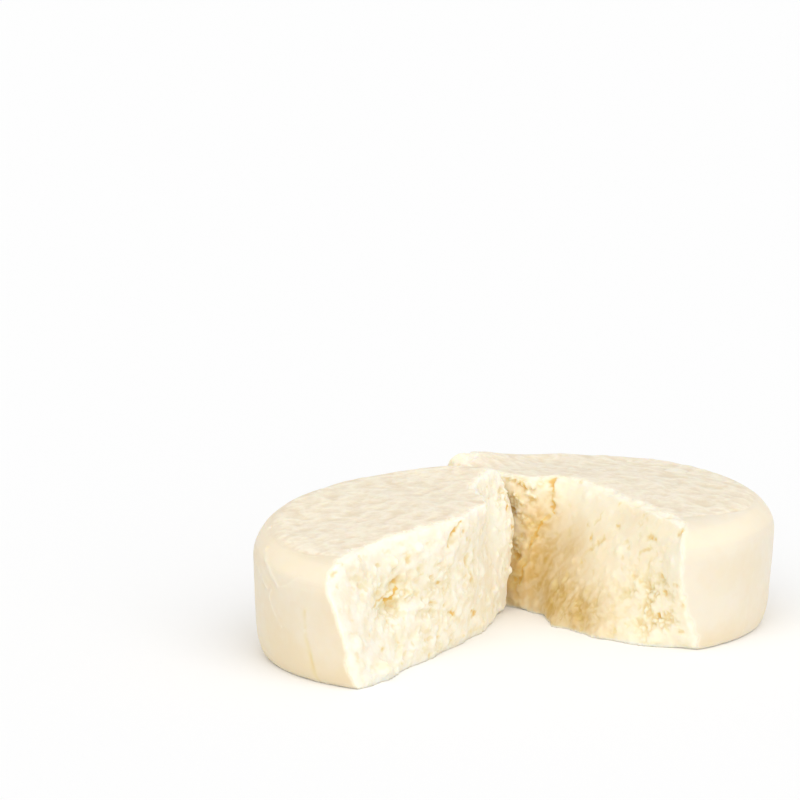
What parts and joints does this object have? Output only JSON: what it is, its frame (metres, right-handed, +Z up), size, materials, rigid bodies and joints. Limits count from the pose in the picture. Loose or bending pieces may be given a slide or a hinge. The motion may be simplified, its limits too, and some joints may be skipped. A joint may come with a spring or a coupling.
{
  "type": "cotija cheese",
  "caption": "Small round aged cheese broken across its middle, the thick halves standing in an open V, with crumbly broken faces and a smooth pale rind.",
  "frame": {"origin": "middle of the box of both halves, on the surface that they stand on", "axes": "+Z up through the wheel's thickness, +Y away from the open side of the V, +X to the right"},
  "size_m": [0.1362, 0.128, 0.0401],
  "materials": {
    "cheese": "pale cream, satin rind and crumbly matt curd"
  },
  "bodies": {
    "root": {"left_half": "cheese", "right_half": "cheese"}
  },
  "joints": []
}
